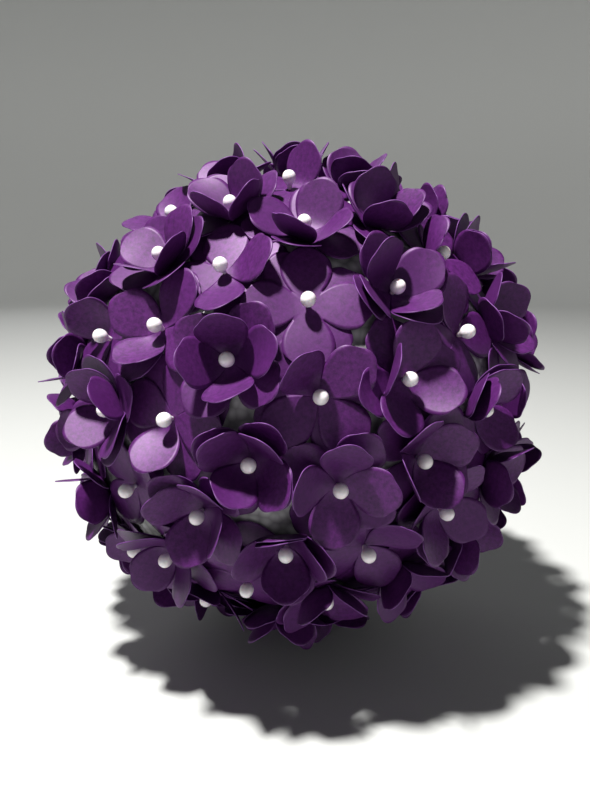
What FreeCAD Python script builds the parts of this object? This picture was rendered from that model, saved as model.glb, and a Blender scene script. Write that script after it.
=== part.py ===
"""Paper flower ball: a foam ball covered with card flowers, each held by one pearl-head pin.

Millimetres, +Z up. The ball stands on its lowest petals at z = 0, over the origin.

The flowers lie in rows, one above another like circles of latitude. Row 1 is the single flower
at the top, and the last row is the single flower underneath. One flower is, from the foam out:
an under layer of four petals, an upper layer of four petals turned some other way, and a pin
whose pearl head clamps both to the ball. Each kind of piece of one row shares a node, as a group
of separate solids.
"""

import math
import os

import FreeCAD
import Part

# ---- driving dimensions, mm and degrees -------------------------------------------------------

ball_diameter = 152.0  # a six-inch craft foam ball

rows = 11  # from the top flower to the bottom flower, evenly spaced
row_wave = 7.0  # how far a row sways above and below its circle, degrees at the equator
waves_round_ball = 4
wave_crest = -35.0  # longitude of one crest; 0 is the front of the ball, and + is to the right
row_starts = [0.0, -4.0, 3.0, 3.0, 5.0, -9.0, -2.0, -13.0, -5.0, -25.0, 0.0]  # first flowers

card_thickness = 0.25
flower_across = 38.0  # a flower as punched, flat, from petal tip to petal tip
petals = 4
petal_width = 15.0
petal_tip_flat = 1.8  # the straight middle of a petal's end, between its two round corners
slit_width = 0.7
slit_from_centre = 4.6  # the slits between petals stop here
eye_radius = 2.6  # the flat middle of a flower
bend_radius = 2.5  # where the petals turn up around the eye
layer_lean = 7.0  # how much steeper the upper petals stand than the under ones, degrees
petal_room = 0.5  # least gap between the petals of neighbouring flowers
rise_step = 0.25  # the petals' rise is found to the nearest this many degrees
under_turn_step = 101.0  # each under layer is turned this much from the one before, degrees
upper_turn_step = 137.5  # and each upper layer this much, so no two flowers look alike

pin_length = 38.0  # shank, from its point to its blunt end inside the head
pin_diameter = 0.65
pin_point_length = 2.0
pearl_diameter = 5.0
neck_length = 1.6  # the drop-shaped neck between the pearl and the card
neck_foot_diameter = 1.7
neck_top_diameter = 3.0
neck_inside_pearl = 1.25  # how far the neck runs on inside the pearl
pearl_bore_depth = 4.2  # how deep the shank goes into the head, from the neck's foot

# ---- what follows from them -------------------------------------------------------------------

ball_radius = ball_diameter / 2
row_step = 180.0 / (rows - 1)
eye_height = 2 * card_thickness  # the upper layer's top face, above the foam
petal_length = flower_across / 2
petal_tip_radius = (petal_width - petal_tip_flat) / 2
pin_radius = pin_diameter / 2
overcut = 1.0  # a drill starts this far outside what it drills
Z = FreeCAD.Vector(0, 0, 1)


def flower_directions():
    """One list per row of unit vectors from the ball's centre to the row's flowers."""
    directions = []
    for row in range(rows):
        circle = 90.0 - row * row_step
        count = max(1, round(360.0 * math.cos(math.radians(circle)) / row_step))
        sway = row_wave * math.cos(math.radians(circle))
        flowers = []
        for number in range(count):
            longitude = row_starts[row] + number * 360.0 / count
            phase = math.radians(waves_round_ball * (longitude - wave_crest))
            up = math.radians(circle + sway * math.cos(phase))
            along = math.radians(longitude)
            flowers.append(
                FreeCAD.Vector(
                    math.cos(up) * math.sin(along),
                    -math.cos(up) * math.cos(along),
                    math.sin(up),
                )
            )
        directions.append(flowers)
    return directions


def closest_pair(directions):
    """The smallest angle between two flowers, in radians."""
    every = [d for row in directions for d in row]
    return min(a.getAngle(b) for i, a in enumerate(every) for b in every[:i])


def straight_length(rise, bend):
    """What is left of a petal, from the end of its bend to its tip."""
    return petal_length - eye_radius - bend * rise


def petal_tip(rise):
    """How far out and how high the tips of the under petals stand when they rise this much."""
    straight = straight_length(rise, bend_radius)
    out = eye_radius + bend_radius * math.sin(rise) + straight * math.cos(rise)
    up = bend_radius * (1 - math.cos(rise)) + straight * math.sin(rise)
    return out, up


def steepness(half_angle):
    """The least rise of the under petals, in radians, that keeps them clear of the neighbours."""
    rise = 0.0
    while True:
        out, up = petal_tip(rise)
        room = (ball_radius + up) * math.tan(half_angle) - petal_room / 2 - card_thickness
        if out <= room:
            return rise
        rise += math.radians(rise_step)


# ---- one flower, standing on the foam at the origin -------------------------------------------


def bowl(rise, floor, outer):
    """A dished card disc: flat eye, bend of the given outer radius, and straight petals."""
    straight = straight_length(rise, outer)
    along = FreeCAD.Vector(math.cos(rise), 0, math.sin(rise))
    across = FreeCAD.Vector(-math.sin(rise), 0, math.cos(rise))
    centre = FreeCAD.Vector(eye_radius, 0, floor + outer)

    def bend_point(angle, radius):
        return centre + FreeCAD.Vector(math.sin(angle), 0, -math.cos(angle)) * radius

    inner = outer - card_thickness
    under = [bend_point(angle, outer) for angle in (0, rise / 2, rise)]
    over = [bend_point(angle, inner) for angle in (0, rise / 2, rise)]
    tip_under = under[2] + along * straight
    tip_over = tip_under + across * card_thickness
    middle_under = FreeCAD.Vector(0, 0, floor)
    middle_over = FreeCAD.Vector(0, 0, floor + card_thickness)
    outline = Part.Wire(
        [
            Part.makeLine(middle_under, under[0]),
            Part.Arc(*under).toShape(),
            Part.makeLine(under[2], tip_under),
            Part.makeLine(tip_under, tip_over),
            Part.makeLine(tip_over, over[2]),
            Part.Arc(*reversed(over)).toShape(),
            Part.makeLine(over[0], middle_over),
            Part.makeLine(middle_over, middle_under),
        ]
    )
    return Part.Face(outline).revolve(FreeCAD.Vector(), Z, 360)


def petal_cutters(rise, floor, outer):
    """All that lies outside the petals: four slits, and the corners round each petal's tip.

    It is drawn flat, along one petal, then leaned with that petal and repeated.
    """
    big = flower_across
    half = petal_width / 2
    corner = half - petal_tip_radius
    corner_reach = outer * math.tan(rise / 2)  # from the bend's ends to where their planes meet
    length = straight_length(rise, outer) + corner_reach

    def at(x, y):
        return FreeCAD.Vector(x, y, -big / 2)

    turn = petal_tip_radius * math.sqrt(0.5)
    edge = [
        Part.makeLine(at(-big, half), at(length - petal_tip_radius, half)),
        Part.Arc(
            at(length - petal_tip_radius, half),
            at(length - petal_tip_radius + turn, corner + turn),
            at(length, corner),
        ).toShape(),
        Part.makeLine(at(length, corner), at(length, -corner)),
        Part.Arc(
            at(length, -corner),
            at(length - petal_tip_radius + turn, -corner - turn),
            at(length - petal_tip_radius, -half),
        ).toShape(),
        Part.makeLine(at(length - petal_tip_radius, -half), at(-big, -half)),
        Part.makeLine(at(-big, -half), at(-big, half)),
    ]
    petal = Part.Face(Part.Wire(edge)).extrude(Z * big)
    block = Part.makeBox(2 * big, 2 * big, big, FreeCAD.Vector(-big, -big, -big / 2))
    frame = block.cut(petal)
    frame.rotate(FreeCAD.Vector(), FreeCAD.Vector(0, 1, 0), -math.degrees(rise))
    frame.translate(FreeCAD.Vector(eye_radius + corner_reach, 0, floor))

    share = math.radians(180.0 / petals)
    wedge = Part.Face(
        Part.makePolygon(
            [
                FreeCAD.Vector(0, 0, -big),
                FreeCAD.Vector(big, -big * math.tan(share), -big),
                FreeCAD.Vector(big, big * math.tan(share), -big),
                FreeCAD.Vector(0, 0, -big),
            ]
        )
    ).extrude(Z * 2 * big)
    inside = Part.makeCylinder(slit_from_centre, 2 * big, FreeCAD.Vector(0, 0, -big))
    frame = frame.common(wedge).cut(inside)

    slit = Part.makeBox(
        big,
        slit_width,
        2 * big,
        FreeCAD.Vector(slit_from_centre, -slit_width / 2, -big),
    )
    end = Part.makeCylinder(slit_width / 2, 2 * big, FreeCAD.Vector(slit_from_centre, 0, -big))
    slit = slit.fuse(end)
    slit.rotate(FreeCAD.Vector(), Z, 180.0 / petals)

    cutters = []
    for number in range(petals):
        for shape in (frame, slit):
            copy = shape.copy()
            copy.rotate(FreeCAD.Vector(), Z, number * 360.0 / petals)
            cutters.append(copy)
    return cutters


def card_flower(rise, floor):
    """One layer of petals, with the hole that its pin goes through.

    Every layer bends about the same centre, so one layer nests inside the next.
    """
    outer = bend_radius - floor
    pin_hole = Part.makeCylinder(pin_radius, flower_across, FreeCAD.Vector(0, 0, -overcut))
    layer = bowl(rise, floor, outer).cut(petal_cutters(rise, floor, outer) + [pin_hole])
    return layer.Solids[0]


def shank_top():
    """Height above the foam of the shank's blunt end, inside the pearl head."""
    return eye_height + pearl_bore_depth


def pin_shank():
    """A straight steel pin with a sharp point, its blunt end inside the pearl head."""
    point = shank_top() - pin_length
    taper = Part.makeCone(0.0, pin_radius, pin_point_length, FreeCAD.Vector(0, 0, point))
    start = FreeCAD.Vector(0, 0, point + pin_point_length)
    straight = Part.makeCylinder(pin_radius, pin_length - pin_point_length, start)
    return taper.fuse(straight).removeSplitter().Solids[0]


def pearl_head():
    """A ball with a short tapered neck that sits on the card, bored for the shank."""
    middle = eye_height + neck_length + pearl_diameter / 2
    pearl = Part.makeSphere(pearl_diameter / 2, FreeCAD.Vector(0, 0, middle))
    neck = Part.makeCone(
        neck_foot_diameter / 2,
        neck_top_diameter / 2,
        neck_length + neck_inside_pearl,
        FreeCAD.Vector(0, 0, eye_height),
    )
    bore = Part.makeCylinder(pin_radius, pearl_bore_depth, FreeCAD.Vector(0, 0, eye_height))
    return pearl.fuse(neck).cut(bore).removeSplitter().Solids[0]


# ---- the ball and its flowers -----------------------------------------------------------------


def placed(piece, direction, turn):
    """A copy of a piece that stands on the origin, turned about its pin and set on the ball."""
    lean = FreeCAD.Rotation(Z, direction)
    place = FreeCAD.Placement(direction * ball_radius, lean * FreeCAD.Rotation(Z, turn))
    return piece.transformed(place.toMatrix(), True)


def foam_ball(directions):
    """The solid ball, pierced by every pin."""
    depth = pin_length - shank_top()
    holes = []
    for direction in [d for row in directions for d in row]:
        point = direction * (ball_radius - depth)
        start = direction * (ball_radius - depth + pin_point_length)
        holes.append(Part.makeCone(0.0, pin_radius, pin_point_length, point, direction))
        straight = depth - pin_point_length + overcut
        holes.append(Part.makeCylinder(pin_radius, straight, start, direction))
    return Part.makeSphere(ball_radius).cut(holes).Solids[0]


def build():
    directions = flower_directions()
    half_angle = closest_pair(directions) / 2
    under_rise = steepness(half_angle)
    upper_rise = under_rise + math.radians(layer_lean)
    print(
        "closest flowers %.2f degrees apart, under petals rise %.1f degrees"
        % (math.degrees(2 * half_angle), math.degrees(under_rise))
    )

    pieces = {
        "under_petals": (card_flower(under_rise, 0.0), under_turn_step),
        "upper_petals": (card_flower(upper_rise, card_thickness), upper_turn_step),
        "pin_shanks": (pin_shank(), 0.0),
        "pearl_heads": (pearl_head(), 0.0),
    }
    nodes = {"foam_ball": [foam_ball(directions)]}
    number = 0
    for row, flowers in enumerate(directions, start=1):
        for direction in flowers:
            for name, (piece, turn_step) in pieces.items():
                solids = nodes.setdefault("row_%02d_%s" % (row, name), [])
                solids.append(placed(piece, direction, number * turn_step))
            number += 1
    return nodes


def stand_on_origin(nodes):
    """Moves every piece so that the whole ball stands on z = 0, centred over the origin."""
    box = FreeCAD.BoundBox()
    for solids in nodes.values():
        for solid in solids:
            box.add(solid.optimalBoundingBox(False))
    foot = FreeCAD.Vector(box.Center.x, box.Center.y, box.ZMin)
    for solids in nodes.values():
        for solid in solids:
            solid.translate(foot * -1)
    print("overall %.1f x %.1f x %.1f mm" % (box.XLength, box.YLength, box.ZLength))
    print("ball centre at", (foot * -1))


nodes = build()
stand_on_origin(nodes)
os.makedirs("parts", exist_ok=True)
for name, solids in nodes.items():
    shape = solids[0] if len(solids) == 1 else Part.makeCompound(solids)
    shape.exportStep("parts/%s.step" % name)
print(len(nodes), "nodes,", sum(len(solids) for solids in nodes.values()), "solids")
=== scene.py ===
# %% [markdown]
# # A ball of paper flowers
#
# This ball is a plain foam ball covered with punched card flowers. Each flower is two layers of
# four petals, and one pearl-head pin goes through both layers into the foam. The design already
# says where every pin goes. This lesson makes what the eye sees there: card that curls, pearls
# with a soft shine, and a beaded foam ball behind them.
#
# The first step loads the design. Everything after it is placed by what the design holds.

# %% Load the design
import math
import random

import bmesh
import bpy
import numpy as np
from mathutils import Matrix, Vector, noise
from mathutils.bvhtree import BVHTree


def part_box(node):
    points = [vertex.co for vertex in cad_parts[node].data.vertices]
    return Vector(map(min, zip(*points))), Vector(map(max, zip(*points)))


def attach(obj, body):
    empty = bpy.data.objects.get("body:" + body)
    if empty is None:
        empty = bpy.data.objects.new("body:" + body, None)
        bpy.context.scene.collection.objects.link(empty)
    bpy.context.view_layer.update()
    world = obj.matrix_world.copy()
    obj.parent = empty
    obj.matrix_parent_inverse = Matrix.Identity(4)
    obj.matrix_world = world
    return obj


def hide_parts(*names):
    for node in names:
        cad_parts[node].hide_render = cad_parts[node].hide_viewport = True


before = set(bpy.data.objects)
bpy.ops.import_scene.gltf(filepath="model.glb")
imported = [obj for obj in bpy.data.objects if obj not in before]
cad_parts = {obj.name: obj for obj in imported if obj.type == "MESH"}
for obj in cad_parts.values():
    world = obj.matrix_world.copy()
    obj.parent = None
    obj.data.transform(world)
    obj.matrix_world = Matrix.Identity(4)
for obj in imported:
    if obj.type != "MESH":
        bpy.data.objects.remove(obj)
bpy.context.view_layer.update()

MM = 0.001  # Blender works in metres here
chance = random.Random(7)  # seeded, so that every run makes the same ball
rows = sorted({name[:6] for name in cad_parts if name.startswith("row_")})
print(len(rows), "rows of flowers")

# %% [markdown]
# ## Where the flowers are
#
# A pin's shank is a long thin solid that points at the middle of the ball, so the middle of its
# points gives the direction of its flower. All the shanks of a row share one mesh of loose
# triangles. They could be told apart by hand, but it is safer to weld a copy and walk along its
# edges: each connected island is one shank. The flowers of a row are then put in order round the
# ball, because the random wishes below go by that order and every run has to make the same ball.

# %% The ball's middle and radius
low, high = (Vector(corner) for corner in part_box("foam_ball"))
ball_middle = (low + high) / 2
ball_radius = (high.z - low.z) / 2
print("ball radius %.1f mm" % (ball_radius / MM))

# %% Islands of a mesh
WELD = 0.002 * MM


def islands(node):
    """The vertex places of each connected piece of a design node."""
    bm = bmesh.new()
    bm.from_mesh(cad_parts[node].data)
    bmesh.ops.remove_doubles(bm, verts=bm.verts, dist=WELD)
    left = set(bm.verts)
    found = []
    for first in bm.verts:
        if first not in left:
            continue
        left.remove(first)
        group = [first]
        for vert in group:
            for edge in vert.link_edges:
                other = edge.other_vert(vert)
                if other in left:
                    left.remove(other)
                    group.append(other)
        found.append([vert.co.copy() for vert in group])
    bm.free()
    return found


# %% One record for each flower
class Flower:
    """A flower's place on the foam, and three directions: out of the ball, and two along it."""

    def __init__(self, row, out):
        self.row = row
        self.out = out
        self.along = out.orthogonal().normalized()
        self.across = out.cross(self.along)
        self.place = ball_middle + out * ball_radius
        self.axes = np.array([self.along, self.across, self.out])


FIRST_ANGLE = 1.0  # radians round from +X, where no pin stands


def angle_round(out):
    """How far round the ball a direction lies, from the first angle on."""
    return (math.atan2(out.y, out.x) - FIRST_ANGLE) % math.tau


flowers = []
for row in rows:
    shanks = islands(row + "_pin_shanks")
    directions = [sum(points, Vector()) / len(points) - ball_middle for points in shanks]
    for direction in sorted(directions, key=angle_round):
        flowers.append(Flower(row, direction.normalized()))
outs = np.array([flower.out for flower in flowers])
print(len(flowers), "flowers")

# %% [markdown]
# ## How each flower is turned
#
# A flower can be turned any way round its pin. Its petals reach furthest along four directions.
# The far points' angles could be sorted into four groups, but there is a shorter way: multiplied
# by four, all four directions become the same one, so the angles can simply be added up.

# %% Read the turns from the design's petals
PETALS = 4
FAR = 0.97  # the points beyond this share of the greatest reach are a petal's tip


def read_turns(kind):
    """The angle of one petal of each flower's layer, in that flower's own directions."""
    turns = np.zeros(len(flowers))
    for row in rows:
        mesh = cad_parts[row + kind].data
        points = np.zeros(len(mesh.vertices) * 3)
        mesh.vertices.foreach_get("co", points)
        points = points.reshape(-1, 3) - np.array(ball_middle)
        nearest = (points @ outs.T).argmax(axis=1)
        for index in np.unique(nearest):
            local = points[nearest == index] @ flowers[index].axes.T
            flat = local[:, 0] + 1j * local[:, 1]
            far = np.abs(flat) > FAR * np.abs(flat).max()
            turns[index] = np.angle((flat[far] ** PETALS).sum()) / PETALS
    return turns


turns = {"under": read_turns("_under_petals"), "upper": read_turns("_upper_petals")}
print("first flower's layers are turned %.0f and %.0f degrees"
      % (math.degrees(turns["under"][0]), math.degrees(turns["upper"][0])))

# %% [markdown]
# ## One petal, flat
#
# A craft punch cuts a whole flower in one press, so every petal starts as the same flat shape. It
# could be a curve that is filled in, but a filled face has no points inside it to bend. A small
# grid has them. Its columns are drawn in to a point at the flower's eye, swell to a broad round
# petal, and close round its tip.

# %% Sizes of the punched card
PETAL_LENGTH = 19.0 * MM  # half of a 38 mm flower
PETAL_WIDTH = 15.0 * MM
WIDEST = 11.4 * MM  # how far from the eye's middle a petal is widest
EYE = 2.6 * MM  # radius of the flat middle
SLIT_ENDS = 3.0 * MM
NECK_SHARE = 0.40  # a petal's width where its slits end, as a share of its full width
TIP_SHARE = 0.64  # and at its tip, before the corners are rounded
SWELL = 1.9  # how roundly a petal swells to its widest
CLOSING = 2.4  # and how roundly it closes again
CORNER = 3.0 * MM  # how far the corners of the tip are drawn back
CORNER_LENGTHWISE = 4  # how late the corners draw back along the petal
CORNER_SIDEWAYS = 2.2  # and how late from its middle line to its edge
COLUMN_SPACING = 0.85  # below 1, the columns lie closer towards the tip
CARD = 0.25 * MM
LENGTHS = 8
WIDTHS = 6


# %% The outline of a petal
def half_width(x):
    """Half of a petal's width at x from the eye's middle."""
    if x <= SLIT_ENDS:
        return x
    if x < WIDEST:
        inward = (WIDEST - x) / (WIDEST - SLIT_ENDS)
        return PETAL_WIDTH / 2 * (1 - (1 - NECK_SHARE) * inward**SWELL)
    outward = (x - WIDEST) / (PETAL_LENGTH - WIDEST)
    return PETAL_WIDTH / 2 * (1 - (1 - TIP_SHARE) * outward**CLOSING)


def flat_petal():
    """A bmesh of one petal lying along +X, as it leaves the punch."""
    bm = bmesh.new()
    bmesh.ops.create_grid(bm, x_segments=LENGTHS, y_segments=WIDTHS, size=1.0)
    for vert in bm.verts:
        share = (vert.co.x + 1) / 2
        side = vert.co.y
        x = PETAL_LENGTH * share**COLUMN_SPACING
        drawn_back = CORNER * share**CORNER_LENGTHWISE * abs(side) ** CORNER_SIDEWAYS
        vert.co = Vector((x - drawn_back, half_width(x) * side, 0))
    bmesh.ops.remove_doubles(bm, verts=bm.verts, dist=WELD)
    return bm


# %% Keep the flat petal's points and faces
JOINED = 0.9 * EYE  # nearer the eye's middle than this, a flower's petals are one card

petal = flat_petal()
petal_flat = np.array([vert.co for vert in petal.verts])
past_eye_faces = [
    [vert.index for vert in face.verts]
    for face in petal.faces
    if min(vert.co.x for vert in face.verts) > JOINED
]
petal_mesh = bpy.data.meshes.new("flat_petal")
petal.to_mesh(petal_mesh)
print(len(petal.faces), "faces to a petal,", len(past_eye_faces), "of them past the eye")
petal.free()

# %% [markdown]
# ## Curling the card
#
# Card bends one way easily, like a rolled sheet, and hardly at all two ways at once. Sculpting
# every petal would lose its length and width. So a curled petal is worked out from its middle
# line: the slope grows quickly at the eye and slowly after that, and walking along the slope
# gives each point's reach and height. The edges then lift a little, as they do round a cup, and a
# small twist lets one edge stand above the other. A petal that hardly leans has been pressed
# down by its neighbours, so it loses its curl and follows the ball.

# %% Curl one petal
BEND_SHARE = 0.10  # how much of a petal's length its bend at the eye takes
PRESSED = math.radians(25)  # a petal that leans less than this is pressed flat
TIP_GROWTH = 1.5  # how late along the petal its tip curl grows
FREED = 0.7  # the share of the ball's round that a petal which stands doesn't follow
CUP_DIAMETER = 24 * MM  # of the round that a petal's width bends to at a cupping of 1
CUP_GROWTH = 3  # the cupping is full from one third of the petal's length
DRAWN_IN = 0.5  # how much narrower a petal gets as its edges lift
STEPS = 48


def curl(flat, lean, tip_curl, cupping, twist):
    """Where the points of a flat petal go when the petal is curled up by lean radians."""
    ease = min(1.0, lean / PRESSED)
    walk = np.linspace(0, PETAL_LENGTH - EYE, STEPS)
    part = walk / walk[-1]
    slope = lean * (1 - np.exp(-part / BEND_SHARE)) + ease * tip_curl * part**TIP_GROWTH
    slope = slope - (1 - FREED * ease) * walk / ball_radius
    reach = EYE + np.concatenate([[0], np.cumsum(np.cos(slope[:-1]) * walk[1])])
    height = np.concatenate([[0], np.cumsum(np.sin(slope[:-1]) * walk[1])])
    x, y = flat[:, 0], flat[:, 1]
    past_eye = np.clip(x - EYE, 0, None)
    share = past_eye / walk[-1]
    middle_reach = np.where(x < EYE, x, np.interp(past_eye, walk, reach))
    middle_height = np.interp(past_eye, walk, height)
    tilt = np.interp(past_eye, walk, slope)
    bend = ease * cupping / CUP_DIAMETER - (1 - ease) / (2 * ball_radius)
    lift = bend * y**2 * np.minimum(CUP_GROWTH * share, 1)
    turned = ease * twist * share
    rise = lift + y * np.sin(turned)
    narrowing = 1 - DRAWN_IN * np.abs(lift) / PETAL_WIDTH
    return np.column_stack(
        [
            middle_reach - np.sin(tilt) * rise,
            y * np.cos(turned) * narrowing,
            middle_height + np.cos(tilt) * rise,
        ]
    )


# %% [markdown]
# ## Making the flowers share their room
#
# On the real ball the flowers are pinned one after another. Where two petals meet, the flower
# pinned later laps over the earlier one and presses it towards the foam, or both stand up face to
# face. Posing a thousand petals by hand isn't practical, and a cloth simulation of stiff card is
# slow. So each petal wishes for a lean of its own, and wherever two petals cross, the later one
# is raised a little and the earlier one is pressed down, again and again.

# %% One record for each petal
LIFT_OFF = {"under": 0.6 * CARD, "upper": 1.9 * CARD}  # the middle of the card, above the foam
TIP_CURLS = (-20, 14)  # degrees, from rolled back to rolled in
CUPPINGS = (-0.1, 0.6)
TWISTS = (-7, 7)  # degrees


class Petal:
    """One petal: which flower and layer it belongs to, and how it is curled."""

    def __init__(self, flower_index, layer, number, lean):
        self.flower = flower_index
        self.layer = layer
        self.angle = turns[layer][flower_index] + number * math.tau / PETALS
        self.tip_curl = math.radians(chance.uniform(*TIP_CURLS))
        self.cupping = chance.uniform(*CUPPINGS)
        self.twist = math.radians(chance.uniform(*TWISTS))
        self.veer = 0.0  # how far the petal swings sideways where its slits let it
        self.set_lean(lean)

    def set_lean(self, lean):
        """Curls the petal, and puts it on the ball."""
        self.lean = lean
        local = curl(petal_flat, lean, self.tip_curl, self.cupping, self.twist)
        c = math.cos(self.angle + self.veer)
        s = math.sin(self.angle + self.veer)
        along = local[:, 0] * c - local[:, 1] * s
        across = local[:, 0] * s + local[:, 1] * c
        up = local[:, 2] + LIFT_OFF[self.layer]
        flower = flowers[self.flower]
        self.placed = np.column_stack([along, across, up]) @ flower.axes + np.array(flower.place)
        self.tree = BVHTree.FromPolygons(self.placed.tolist(), past_eye_faces)
        self.middle = self.placed.mean(axis=0)


# %% Every petal with the lean it wishes for
FLAT_LEANS = {"under": 8, "upper": 14}  # degrees, in a flower that was pinned on flat
CUPPED_LEANS = {"under": 38, "upper": 56}  # and in one that was cupped by hand first
CUPPED_RARITY = 1.2  # above 1, well cupped flowers are rarer than flat ones
LEAN_SPREAD = (-9, 9)  # degrees, between the petals of a layer
LEAST_WISH = 3  # degrees

card_petals = []
for index in range(len(flowers)):
    cupped = chance.random() ** CUPPED_RARITY
    for layer in ("under", "upper"):
        lean = FLAT_LEANS[layer] + (CUPPED_LEANS[layer] - FLAT_LEANS[layer]) * cupped
        for number in range(PETALS):
            wish = max(LEAST_WISH, lean + chance.uniform(*LEAN_SPREAD))
            card_petals.append(Petal(index, layer, number, math.radians(wish)))
pinned = list(range(len(flowers)))  # each flower's turn in the order of pinning
chance.shuffle(pinned)
print(len(card_petals), "petals")

# %% [markdown]
# ## The flower that the ball stands on
#
# The lowest flower carries the ball, so its upper petals have to reach the table. They could be
# made longer, but a punched petal has one length. They are stood up until their tips touch
# instead, and nothing moves them after that.

# %% Stand the lowest flower on the table
STANDING_STEP = math.radians(0.25)

resting = set()
for index, one in enumerate(card_petals):
    if flowers[one.flower].row == rows[-1] and one.layer == "upper":
        one.tip_curl = one.cupping = one.twist = 0.0
        one.set_lean(PRESSED)
        while one.placed[:, 2].min() > CARD / 2:
            one.set_lean(one.lean + STANDING_STEP)
        resting.add(index)
        print("a petal stands on the table, leaning %.0f degrees" % math.degrees(one.lean))

# %% Which petals are near enough to touch
closeness = outs @ outs.T
neighbours = closeness > math.cos(2 * math.asin(PETAL_LENGTH / ball_radius))
near = []
for a, first in enumerate(card_petals):
    for b in range(a + 1, len(card_petals)):
        if neighbours[first.flower, card_petals[b].flower]:
            near.append((a, b))
near_a, near_b = np.array(near).T
partners_of = [[] for _ in card_petals]
for a, b in near:
    partners_of[a].append(b)
    partners_of[b].append(a)
print(len(near), "pairs of petals to watch")

# %% Find the pairs that cross
TOUCHING = 17.5 * MM  # the middles of two petals that meet are nearer than this


def crossing_pairs():
    """The pairs of petals that cut through each other."""
    middles = np.array([one.middle for one in card_petals])
    close = np.linalg.norm(middles[near_a] - middles[near_b], axis=1) < TOUCHING
    return [
        (a, b)
        for a, b in zip(near_a[close].tolist(), near_b[close].tolist())
        if card_petals[a].tree.overlap(card_petals[b].tree)
    ]


# %% Raise and press the petals
LEAN_LEAST = {"under": math.radians(1), "upper": math.radians(3)}
LEAN_MOST = math.radians(68)
STANDING = math.radians(45)  # two petals that both lean more than this stand face to face
LEAN_STEP = math.radians(1.5)
STEP_SPREAD = (0.6, 1.4)
ROUNDS = 45


def bounded(one, lean):
    """The nearest lean that the petal's layer allows."""
    return min(LEAN_MOST, max(LEAN_LEAST[one.layer], lean))


def lies_over(a, b):
    """Whether petal a lies over petal b: it was pinned later, or it is in the upper layer."""
    first, second = card_petals[a], card_petals[b]
    if first.flower == second.flower:
        return a > b
    return pinned[first.flower] > pinned[second.flower]


def settle(rounds):
    """Moves the petals that cross a little apart in each round."""
    for _ in range(rounds):
        ways = {}
        for a, b in crossing_pairs():
            upper, lower = (a, b) if lies_over(a, b) else (b, a)
            both_stand = min(card_petals[a].lean, card_petals[b].lean) > STANDING
            ways.setdefault(upper, []).append(1)
            ways.setdefault(lower, []).append(1 if both_stand else -1)
        for index in sorted(ways.keys() - resting):
            wanted = ways[index]
            one = card_petals[index]
            step = LEAN_STEP * chance.choice(wanted) * chance.uniform(*STEP_SPREAD)
            one.set_lean(bounded(one, one.lean + step))


settle(ROUNDS)
print(len(crossing_pairs()), "pairs of petals still cross")

# %% [markdown]
# ## The petals that are still in the way
#
# Raising and pressing can't free a petal that is caught between two others. A maker would bend it
# a little this way and that until it sits. The same search works here: small changes of lean,
# curl and direction are tried first, then larger ones, and the change that crosses least is kept.

# %% Bend a petal until it is free
TRIES = 40
LEAN_CHANGE = (-40, 30)  # degrees, the most that is tried, as the next two
CURL_CHANGE = (-30, 30)
VEER_CHANGE = (-8, 8)
PASSES = 6


def crossed_faces(index):
    """How many faces of other petals a petal cuts, with its points that are in the table."""
    one = card_petals[index]
    count = int((one.placed[:, 2] < CARD / 2).sum())
    for other in partners_of[index]:
        if np.linalg.norm(card_petals[other].middle - one.middle) < TOUCHING:
            count += len(one.tree.overlap(card_petals[other].tree))
    return count


def bend_free(index):
    """Gives a petal the nearest shape that crosses nothing, or the one that crosses least."""
    one = card_petals[index]
    lean, tip_curl, veer = one.lean, one.tip_curl, one.veer
    best = None
    for tried in range(TRIES):
        spread = tried / TRIES
        one.tip_curl = tip_curl + spread * math.radians(chance.uniform(*CURL_CHANGE))
        one.veer = veer + spread * math.radians(chance.uniform(*VEER_CHANGE))
        change = spread * math.radians(chance.uniform(*LEAN_CHANGE))
        one.set_lean(bounded(one, lean + change))
        count = crossed_faces(index)
        if best is None or count < best[0]:
            best = (count, one.lean, one.tip_curl, one.veer)
        if count == 0:
            break
    one.tip_curl, one.veer = best[2:]
    one.set_lean(best[1])


for _ in range(PASSES):
    crossed = sorted({index for pair in crossing_pairs() for index in pair} - resting)
    chance.shuffle(crossed)
    for index in crossed:
        bend_free(index)
    print(len(crossing_pairs()), "pairs of petals still cross")
leans = np.degrees([one.lean for one in card_petals])
print("petals lean %.0f to %.0f degrees, half of them under %.0f"
      % (leans.min(), leans.max(), np.median(leans)))

# %% [markdown]
# ## Colours and nodes
#
# Blender mixes light in linear colour, while a colour picked by eye is an sRGB hex value. One
# function turns the second into the first. Another adds a node with its settings and its links,
# so that each material below reads as a list of what it is made of.


# %% Two helpers for materials
def linear(code):
    """An sRGB hex colour as Blender's linear colour."""
    parts = [int(code[i : i + 2], 16) / 255 for i in (1, 3, 5)]
    return [p / 12.92 if p <= 0.04045 else ((p + 0.055) / 1.055) ** 2.4 for p in parts] + [1.0]


def add_node(tree, kind, links=None, inputs=None, **settings):
    """Adds a node, sets it up, and links other nodes' outputs into it."""
    node = tree.nodes.new(kind)
    for name, value in settings.items():
        setattr(node, name, value)
    for name, value in (inputs or {}).items():
        node.inputs[name].default_value = value
    for name, socket in (links or {}).items():
        tree.links.new(socket, node.inputs[name])
    return node


# %% Start and finish a material
def new_material(name):
    """An empty material, its tree, and its object coordinates in metres."""
    material = bpy.data.materials.new(name)
    material.use_nodes = True
    tree = material.node_tree
    tree.nodes.clear()
    place = add_node(tree, "ShaderNodeTexCoord").outputs["Object"]
    return material, tree, place


def finish_material(tree, links, inputs):
    """Ends a material with one Principled shader."""
    shader = add_node(tree, "ShaderNodeBsdfPrincipled", links=links, inputs=inputs)
    add_node(tree, "ShaderNodeOutputMaterial", links={"Surface": shader.outputs["BSDF"]})


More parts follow.
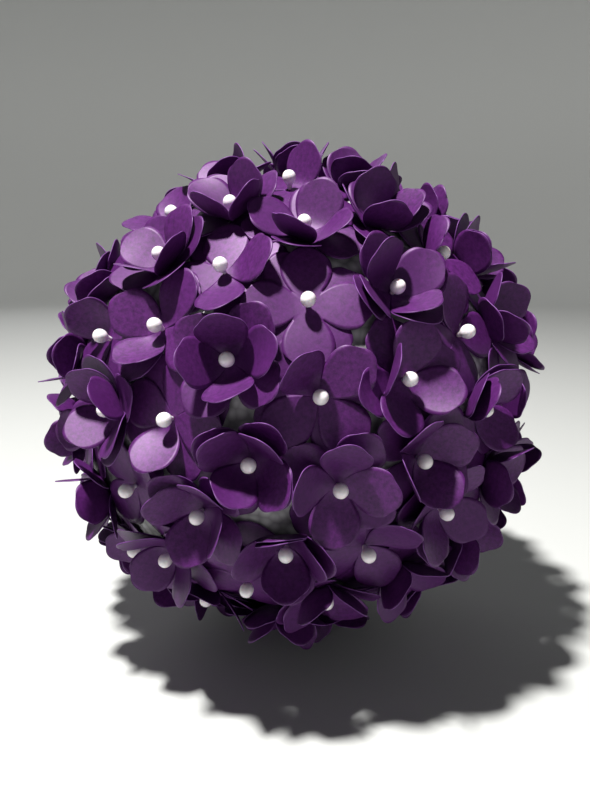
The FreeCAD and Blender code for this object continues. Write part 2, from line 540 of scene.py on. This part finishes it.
def set_ramp(ramp, dark, light, start, end):
    """Gives a colour ramp its two colours and where they lie."""
    first, last = ramp.color_ramp.elements
    first.position = start
    first.color = linear(dark)
    last.position = end
    last.color = linear(light)


# %% [markdown]
# ## Pearlescent card
#
# The flowers are punched from pearlescent cardstock: dyed paper pulp with a thin coat of mica.
# The pulp gives it a deep body colour that is a little uneven from fibre to fibre, and the mica
# gives it a broad lilac sheen wherever it faces the lamp. A picture of paper could be wrapped on,
# but a noise texture at the size of the fibres follows every petal without a seam.
#
# Each petal also has a shade of its own, kept in an attribute called tint, because no two
# sheets take the dye alike. The cut edge is painted a little paler than the face, a painted
# highlight where the edges catch the lamp.

# %% Card
FIBRES = 1.3 * MM  # fibres are finer than this, but finer ones wouldn't show
CLOUDS = 9.0 * MM  # across one of the uneven patches in the dye


def make_card(name, body, light, dark):
    material, tree, place = new_material(name)
    fibre = add_node(
        tree, "ShaderNodeTexNoise", links={"Vector": place},
        inputs={"Scale": 1 / FIBRES, "Detail": 6.0, "Roughness": 0.7},
    )
    cloud = add_node(
        tree, "ShaderNodeTexNoise", links={"Vector": place},
        inputs={"Scale": 1 / CLOUDS, "Detail": 2.0},
    )
    tint = add_node(tree, "ShaderNodeAttribute", attribute_name="tint")
    ramp = add_node(tree, "ShaderNodeValToRGB", links={"Fac": fibre.outputs["Fac"]})
    set_ramp(ramp, dark, light, 0.32, 0.68)
    evenness = add_node(
        tree, "ShaderNodeMath", operation="MULTIPLY",
        links={0: tint.outputs["Fac"], 1: cloud.outputs["Fac"]},
    )
    mix = add_node(
        tree, "ShaderNodeMix", data_type="RGBA",
        links={"A": ramp.outputs["Color"], "Factor": evenness.outputs["Value"]},
    )
    mix.inputs["B"].default_value = linear(body)
    bump = add_node(
        tree, "ShaderNodeBump", links={"Height": fibre.outputs["Fac"]},
        inputs={"Strength": 0.3, "Distance": 0.05 * MM},
    )
    finish_material(
        tree,
        {"Base Color": mix.outputs["Result"], "Normal": bump.outputs["Normal"]},
        {"Metallic": 0.15, "Roughness": 0.5, "IOR": 1.5, "Specular IOR Level": 0.36},
    )
    return material


card_face = make_card("pearlescent_purple_card", "#451454", "#571D67", "#350C41")
# the edge card is painted paler than the face: a painted highlight where the cut edges catch the
# lamp
edge_card_painted_highlight = make_card("cut_card_edge", "#64367A", "#704086", "#572B6B")
print("made", card_face.name, "and", edge_card_painted_highlight.name)

# %% [markdown]
# ## Lacquered pearl plastic
#
# The pin heads are moulded plastic balls dipped in a pearl lacquer. A mirror-smooth ball would
# look like glass, and a plain white one like chalk. The lacquer is a clear coat over a soft white
# body that lets a little light in, with faint clouds where the dip ran.

# %% Pearl
DIP_CLOUD = 2.5 * MM  # across a cloud in the lacquer


def make_pearl():
    material, tree, place = new_material("pearl_lacquered_plastic")
    dip = add_node(
        tree, "ShaderNodeTexNoise", links={"Vector": place},
        inputs={"Scale": 1 / DIP_CLOUD, "Detail": 2.0},
    )
    ramp = add_node(tree, "ShaderNodeValToRGB", links={"Fac": dip.outputs["Fac"]})
    set_ramp(ramp, "#DFD6DE", "#F1EAF0", 0.35, 0.65)
    finish_material(
        tree,
        {"Base Color": ramp.outputs["Color"]},
        {"Roughness": 0.3, "IOR": 1.53, "Coat Weight": 0.7, "Coat Roughness": 0.1,
         "Subsurface Weight": 0.12, "Subsurface Scale": 1.0 * MM},
    )
    return material


pearl_plastic = make_pearl()
print("made", pearl_plastic.name)

# %% [markdown]
# ## Beaded foam and drawn steel
#
# The ball under the flowers is expanded polystyrene: small beads that were puffed up with steam
# until they pressed each other flat. The seams between beads are painted darker than their
# crowns, as painted shade in the recesses between them, which a Voronoi texture at the size of a
# bead gives directly. The pins are drawn steel wire. They are all but hidden, and keep the
# design's own shape.

# %% Foam and steel
BEAD = 3.2 * MM
DRAWING_MARK = 0.4 * MM  # real ones are finer, and wouldn't show


def make_foam():
    material, tree, place = new_material("expanded_bead_foam")
    beads = add_node(
        tree, "ShaderNodeTexVoronoi", links={"Vector": place}, inputs={"Scale": 1 / BEAD},
    )
    ramp = add_node(tree, "ShaderNodeValToRGB", links={"Fac": beads.outputs["Distance"]})
    # painted shade: the seams between beads are painted darker than the crowns
    set_ramp(ramp, "#CDCBCF", "#77747A", 0.1, 0.8)
    bump = add_node(
        tree, "ShaderNodeBump", links={"Height": beads.outputs["Distance"]},
        inputs={"Strength": 0.6, "Distance": 0.4 * MM}, invert=True,
    )
    finish_material(
        tree,
        {"Base Color": ramp.outputs["Color"], "Normal": bump.outputs["Normal"]},
        {"Roughness": 0.4, "IOR": 1.55},
    )
    return material


def make_steel():
    material, tree, place = new_material("drawn_steel_wire")
    drawing = add_node(
        tree, "ShaderNodeTexNoise", links={"Vector": place}, inputs={"Scale": 1 / DRAWING_MARK},
    )
    ramp = add_node(tree, "ShaderNodeValToRGB", links={"Fac": drawing.outputs["Fac"]})
    set_ramp(ramp, "#B9B9BD", "#D2D2D4", 0.3, 0.7)
    finish_material(
        tree, {"Base Color": ramp.outputs["Color"]}, {"Metallic": 1.0, "Roughness": 0.25},
    )
    return material


foam_beads = make_foam()
steel_wire = make_steel()
print("made", foam_beads.name, "and", steel_wire.name)

# %% [markdown]
# ## Handing a piece over
#
# Every finished mesh becomes an object at the origin, with its place in the mesh. It rides on
# the ball, names the finish that it takes, and hides the design node that it stands for.


# %% Make an object of a bmesh
def new_piece(name, bm, materials, node):
    mesh = bpy.data.meshes.new(name)
    bm.to_mesh(mesh)
    bm.free()
    mesh.polygons.foreach_set("use_smooth", [True] * len(mesh.polygons))
    piece = bpy.data.objects.new(name, mesh)
    bpy.context.scene.collection.objects.link(piece)
    for material in materials:
        mesh.materials.append(material)
    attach(piece, "root")
    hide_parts(node)
    return piece


def round_off(piece):
    """Rounds a piece's outlines with one level of subdivision."""
    smooth = piece.modifiers.new("round the outline", "SUBSURF")
    smooth.levels = smooth.render_levels = 1


# %% [markdown]
# ## The card flowers
#
# A flower's layer is one piece of card, so its four petals are welded at the eye. All the under
# layers of a row are one piece here, and all its upper layers another, as in the design. The card
# gets its thickness last. If the petals were thick from the start, every bend would have to keep
# two skins apart. The Solidify modifier does that, and gives the cut edge a paler card of its own,
# a painted highlight where the edges catch the lamp.

# %% Card layers, two pieces to each row
JOIN = 0.02 * MM  # a layer's petals meet at the eye within this


def card_row(row, layer):
    bm = bmesh.new()
    tint = bm.verts.layers.float.new("tint")
    for one in card_petals:
        if one.layer == layer and flowers[one.flower].row == row:
            start = len(bm.verts)
            bm.from_mesh(petal_mesh)
            bm.verts.ensure_lookup_table()
            shade = chance.random()
            for vert, point in zip(bm.verts[start:], one.placed):
                vert.co = point
                vert[tint] = shade
    bmesh.ops.remove_doubles(bm, verts=bm.verts, dist=JOIN)
    name = "%s_%s_card" % (row, layer)
    node = "%s_%s_petals" % (row, layer)
    piece = new_piece(name, bm, [card_face, edge_card_painted_highlight], node)
    round_off(piece)
    thick = piece.modifiers.new("card thickness", "SOLIDIFY")
    thick.thickness = CARD
    thick.offset = 0
    # the rim takes the edge card, painted paler as a highlight
    thick.material_offset_rim = 1


for row in rows:
    card_row(row, "under")
    card_row(row, "upper")
print(2 * len(rows), "pieces of card flowers")

# %% [markdown]
# ## The pearls
#
# A pearl is a round ball with a short drop-shaped neck that stands on the card. It is one half
# outline spun about the pin, which a sphere joined to a cone would only give with a hard crease.

# %% A pearl's half outline
PEARL = 5.0 * MM
NECK = 1.6 * MM
NECK_FOOT = 0.75 * MM  # the neck's radius where it stands on the card
CARD_TOP = 2.2 * CARD  # where the neck stands, above the foam
OUTLINE_DEGREES = (50, 15, -20, -50, -66)  # round the ball, from its top to its neck
PEARL_SIDES = 10


def pearl_outline(bm):
    """A chain of edges from the pearl's top down to the foot of its neck."""
    middle = CARD_TOP + NECK + PEARL / 2
    chain = [bm.verts.new((0, 0, middle + PEARL / 2))]
    for degrees in OUTLINE_DEGREES:
        angle = math.radians(degrees)
        spot = Vector((math.cos(angle), 0, math.sin(angle))) * PEARL / 2
        chain.append(bm.verts.new(spot + Vector((0, 0, middle))))
    chain.append(bm.verts.new((NECK_FOOT, 0, CARD_TOP)))
    chain.append(bm.verts.new((0, 0, CARD_TOP)))
    for pair in zip(chain, chain[1:]):
        bm.edges.new(pair)


# %% Spin it into a pearl
def one_pearl():
    bm = bmesh.new()
    pearl_outline(bm)
    bmesh.ops.spin(
        bm, geom=bm.verts[:] + bm.edges[:], cent=(0, 0, 0), axis=(0, 0, 1), angle=math.tau,
        steps=PEARL_SIDES, use_merge=True,
    )
    bmesh.ops.remove_doubles(bm, verts=bm.verts, dist=WELD)
    bmesh.ops.recalc_face_normals(bm, faces=bm.faces)
    print(len(bm.faces), "faces to a pearl")
    mesh = bpy.data.meshes.new("pearl")
    bm.to_mesh(mesh)
    bm.free()
    return mesh


pearl_mesh = one_pearl()


# %% Pearls, one piece to each row
def pearl_row(row):
    bm = bmesh.new()
    for flower in flowers:
        if flower.row == row:
            start = len(bm.verts)
            bm.from_mesh(pearl_mesh)
            bm.verts.ensure_lookup_table()
            for vert in bm.verts[start:]:
                x, y, z = vert.co
                vert.co = flower.place + flower.along * x + flower.across * y + flower.out * z
    bmesh.ops.recalc_face_normals(bm, faces=bm.faces)
    name = row + "_pearls"
    round_off(new_piece(name, bm, [pearl_plastic], row + "_pearl_heads"))


for row in rows:
    pearl_row(row)
    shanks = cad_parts[row + "_pin_shanks"]
    shanks.data.materials.clear()
    shanks.data.materials.append(steel_wire)
print(len(rows), "pieces of pearls, and steel on their shanks")

# %% [markdown]
# ## The foam ball
#
# Only glimpses of it show between the petals, but its beads have to be real shapes there. An
# icosphere has no poles and even faces, so it takes the bead pattern better than a globe of
# latitudes. Each point is pushed in where the beads meet, by the same distance that shades them.

# %% Foam with beads
BEAD_HEIGHT = 0.35 * MM
CROWN = 0.6  # share of it that a bead's crown stands above the smooth ball


def foam_piece():
    bm = bmesh.new()
    bmesh.ops.create_icosphere(bm, subdivisions=6, radius=ball_radius - BEAD_HEIGHT)
    for vert in bm.verts:
        out = vert.co.normalized()
        distances, _ = noise.voronoi(vert.co / BEAD)
        vert.co += out * (BEAD_HEIGHT * (CROWN - distances[0]))
    bmesh.ops.translate(bm, verts=bm.verts, vec=ball_middle)
    print(len(bm.faces), "faces to the foam ball")
    new_piece("beaded_foam_ball", bm, [foam_beads], "foam_ball")


foam_piece()

# %% [markdown]
# ## The studio
#
# The ball stands on a plain pale table in a plain round room. A flat floor alone would end in a
# hard line behind the ball, so the floor curves up into the wall, as a photographer's paper
# does, and it is spun all the way round so that every side of the ball has the same backdrop.
# The lamp is high above, a little to the front and the left, which lights the petals that face up
# and leaves those that face down deep in shade. Weak fills before and behind keep their colour
# alive.

# %% Table and wall
FLOOR_REACH = 1.3
COVE = 0.5  # radius of the curve between the floor and the wall
COVE_STEPS = 8
WALL_TOP = 1.6


def floor_outline(bm):
    """A chain of edges out along the floor, round the cove and up the wall."""
    chain = [bm.verts.new((0, 0, 0))]
    for step in range(COVE_STEPS + 1):
        angle = math.radians(90) * step / COVE_STEPS
        out = FLOOR_REACH + COVE * math.sin(angle)
        chain.append(bm.verts.new((out, 0, COVE * (1 - math.cos(angle)))))
    chain.append(bm.verts.new((FLOOR_REACH + COVE, 0, WALL_TOP)))
    for pair in zip(chain, chain[1:]):
        bm.edges.new(pair)


def floor_and_wall():
    bm = bmesh.new()
    floor_outline(bm)
    bmesh.ops.spin(
        bm, geom=bm.verts[:] + bm.edges[:], cent=(0, 0, 0), axis=(0, 0, 1), angle=math.tau,
        steps=64, use_merge=True,
    )
    bmesh.ops.remove_doubles(bm, verts=bm.verts, dist=WELD)
    bmesh.ops.recalc_face_normals(bm, faces=bm.faces)
    mesh = bpy.data.meshes.new("table_and_wall")
    bm.to_mesh(mesh)
    bm.free()
    mesh.polygons.foreach_set("use_smooth", [True] * len(mesh.polygons))
    material, tree, _ = new_material("matt_pale_table")
    finish_material(tree, {}, {"Base Color": linear("#B8BABA"), "Roughness": 0.6})
    mesh.materials.append(material)
    floor = bpy.data.objects.new("table_and_wall", mesh)
    bpy.context.scene.collection.objects.link(floor)


floor_and_wall()
print("made the table and the wall")


# %% Lights
def soft_lamp(name, place, size, power, colour):
    """A round area light that looks at the ball."""
    light = bpy.data.lights.new(name, "AREA")
    light.shape = "DISK"
    light.energy = power
    light.size = size
    light.color = linear(colour)[:3]
    lamp = bpy.data.objects.new(name, light)
    lamp.location = place
    lamp.rotation_euler = (ball_middle - place).to_track_quat("-Z", "Y").to_euler()
    bpy.context.scene.collection.objects.link(lamp)


way_to_lamp = Vector((-0.24, -0.25, 1)).normalized()
FRONT = Vector((0.3, -1.0, 0.5))
BACK = Vector((-0.4, 1.0, 0.6))
soft_lamp("ceiling_lamp", ball_middle + way_to_lamp, size=0.08, power=28, colour="#FFFDF8")
soft_lamp("front_fill", FRONT, size=0.8, power=0.3, colour="#FFFFFF")
soft_lamp("back_fill", BACK, size=0.8, power=1.2, colour="#FFFFFF")
print("made three lamps")

world = bpy.data.worlds.new("studio")
world.use_nodes = True
background = world.node_tree.nodes["Background"]
background.inputs["Color"].default_value = linear("#F4F4F6")
background.inputs["Strength"].default_value = 0.06
bpy.context.scene.world = world
bpy.context.scene.view_settings.view_transform = "Standard"  # keeps the card's purple full

# %% [markdown]
# ## The camera
#
# The ball is looked at from close by and a little above, which makes its near flowers large. The
# lens and the distance go together: a longer lens from further away would flatten the ball.

# %% Camera
PITCH = math.radians(12.5)
DISTANCE = 280 * MM

camera_data = bpy.data.cameras.new("camera")
camera_data.sensor_width = 36.0
camera_data.lens = 34.3
camera_data.clip_start = 0.01
camera = bpy.data.objects.new("camera", camera_data)
camera.location = ball_middle + Vector((0, -math.cos(PITCH), math.sin(PITCH))) * DISTANCE
camera.rotation_euler = (math.pi / 2 - PITCH, 0, 0)
bpy.context.scene.collection.objects.link(camera)
bpy.context.scene.camera = camera
print("the camera is %.0f mm from the ball's middle" % (DISTANCE / MM))
